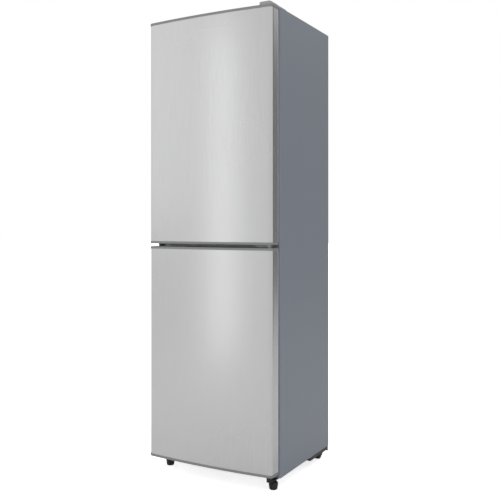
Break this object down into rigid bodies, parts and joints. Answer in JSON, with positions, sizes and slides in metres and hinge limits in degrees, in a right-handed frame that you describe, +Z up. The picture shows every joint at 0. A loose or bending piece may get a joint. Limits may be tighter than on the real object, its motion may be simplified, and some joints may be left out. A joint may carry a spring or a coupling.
{
  "type": "bottom freezer refrigerator",
  "caption": "Tall narrow refrigerator with a fridge above and a freezer below, bowed silver doors hinged on the right, grey cabinet, levelling feet and rear rollers.",
  "frame": {"origin": "on the floor under the middle of the bounding box", "axes": "+X to the right of someone facing the doors, -Y out of the doors, +Z up"},
  "size_m": [0.495, 0.4796, 1.6145],
  "materials": {
    "cabinet_paint": "semi-gloss grey paint",
    "frame_paint": "satin grey paint",
    "galvanised": "galvanised sheet",
    "door_metal": "vertically lit brushed silver sheet",
    "cap_plastic": "fine grey moulding",
    "inner_plastic": "white moulding",
    "clear_plastic": "clear moulding",
    "shelf_glass": "toughened glass",
    "lamp_glass": "frosted bulb",
    "seal_rubber": "dark flexible seal",
    "foam": "foamed in place",
    "hinge_steel": "zinc-plated steel",
    "black_plastic": "black moulding",
    "bush_plastic": "natural slippery moulding",
    "compressor_paint": "black paint",
    "copper": "drawn copper",
    "aluminium_plate": "roll-bonded plate",
    "wire_enamel": "white coated tube and wire"
  },
  "bodies": {
    "cabinet": {"outer_shell": "cabinet_paint", "mullion_bar": "frame_paint", "bottom_rail": "frame_paint", "back_panel": "galvanised", "machine_bay_panel": "galvanised", "compressor_deck": "galvanised", "top_hinge_cover": "cap_plastic", "fridge_liner": "inner_plastic", "freezer_liner": "inner_plastic", "thermostat_housing": "inner_plastic", "light_switch": "inner_plastic", "shelf_trims": "inner_plastic", "drip_tray": "inner_plastic", "lamp_cover": "clear_plastic", "glass_shelves": "shelf_glass", "crisper_lid": "shelf_glass", "lamp_bulb": "lamp_glass", "compressor_mounts": "seal_rubber", "cabinet_foam": "foam", "top_hinge": "hinge_steel", "middle_hinge": "hinge_steel", "bottom_hinge": "hinge_steel", "hinge_screws": "hinge_steel", "hinge_hole_plug": "black_plastic", "relay_cover": "black_plastic", "cord_inlet": "black_plastic", "drain_tube": "black_plastic", "compressor": "compressor_paint", "refrigerant_pipes": "copper", "condenser_coil": "copper", "fridge_evaporator": "aluminium_plate", "cooling_shelves": "wire_enamel"},
    "upper_door": {"upper_door_skin": "door_metal", "upper_door_top_cap": "cap_plastic", "upper_door_bottom_cap": "cap_plastic", "upper_door_liner": "inner_plastic", "upper_door_foam": "foam", "upper_door_gasket": "seal_rubber", "upper_door_bushes": "bush_plastic", "bottle_rack": "clear_plastic", "middle_rack": "clear_plastic", "top_rack": "clear_plastic", "egg_tray": "clear_plastic"},
    "lower_door": {"lower_door_skin": "door_metal", "lower_door_top_cap": "cap_plastic", "lower_door_bottom_cap": "cap_plastic", "lower_door_liner": "inner_plastic", "lower_door_foam": "foam", "lower_door_gasket": "seal_rubber", "lower_door_bushes": "bush_plastic"},
    "crisper": {"crisper_drawer": "clear_plastic"},
    "bottom_freezer_drawer": {"freezer_drawer_bottom": "clear_plastic"},
    "middle_freezer_drawer": {"freezer_drawer_middle": "clear_plastic"},
    "top_freezer_drawer": {"freezer_drawer_top": "clear_plastic"},
    "thermostat_knob_body": {"thermostat_knob": "inner_plastic"},
    "light_button": {"light_switch_button": "inner_plastic"},
    "left_foot": {"foot_left": "black_plastic"},
    "right_foot": {"foot_right": "black_plastic"},
    "left_roller": {"roller_left": "black_plastic"},
    "right_roller": {"roller_right": "black_plastic"}
  },
  "joints": [
    {"name": "upper_door_hinge", "type": "hinge", "parent": "cabinet", "child": "upper_door", "pos_m": [0.2245, -0.2035, 0], "axis": [0, 0, 1], "range_deg": [0, 120]},
    {"name": "lower_door_hinge", "type": "hinge", "parent": "cabinet", "child": "lower_door", "pos_m": [0.2245, -0.2035, 0], "axis": [0, 0, 1], "range_deg": [0, 120]},
    {"name": "crisper_slide", "type": "slide", "parent": "cabinet", "child": "crisper", "axis": [0, -1, 0], "range_m": [0, 0.126]},
    {"name": "bottom_freezer_drawer_slide", "type": "slide", "parent": "cabinet", "child": "bottom_freezer_drawer", "axis": [0, -1, 0], "range_m": [0, 0.126]},
    {"name": "middle_freezer_drawer_slide", "type": "slide", "parent": "cabinet", "child": "middle_freezer_drawer", "axis": [0, -1, 0], "range_m": [0, 0.126]},
    {"name": "top_freezer_drawer_slide", "type": "slide", "parent": "cabinet", "child": "top_freezer_drawer", "axis": [0, -1, 0], "range_m": [0, 0.126]},
    {"name": "light_button_slide", "type": "slide", "parent": "cabinet", "child": "light_button", "axis": [0, -1, 0], "range_m": [0, 0.0051]},
    {"name": "thermostat_knob_turn", "type": "hinge", "parent": "cabinet", "child": "thermostat_knob_body", "pos_m": [0.052, -0.0935, 1.542], "axis": [0, -1, 0], "range_deg": [0, 270]},
    {"name": "left_foot_screw", "type": "hinge", "parent": "cabinet", "child": "left_foot", "pos_m": [-0.221, -0.1345, 0], "axis": [0, 0, 1], "continuous": true},
    {"name": "right_foot_screw", "type": "hinge", "parent": "cabinet", "child": "right_foot", "pos_m": [0.221, -0.1685, 0], "axis": [0, 0, 1], "continuous": true},
    {"name": "left_roller_axle", "type": "hinge", "parent": "cabinet", "child": "left_roller", "pos_m": [-0.2245, 0.1888, 0.02], "axis": [1, 0, 0], "continuous": true},
    {"name": "right_roller_axle", "type": "hinge", "parent": "cabinet", "child": "right_roller", "pos_m": [0.2245, 0.1888, 0.02], "axis": [1, 0, 0], "continuous": true}
  ],
  "couplings": [
    {"joint": "crisper_slide", "follows": "upper_door_hinge", "m_per_rad": 0.06},
    {"joint": "light_button_slide", "follows": "upper_door_hinge", "m_per_rad": 0.0024},
    {"joint": "bottom_freezer_drawer_slide", "follows": "lower_door_hinge", "m_per_rad": 0.06},
    {"joint": "middle_freezer_drawer_slide", "follows": "lower_door_hinge", "m_per_rad": 0.06},
    {"joint": "top_freezer_drawer_slide", "follows": "lower_door_hinge", "m_per_rad": 0.06}
  ]
}
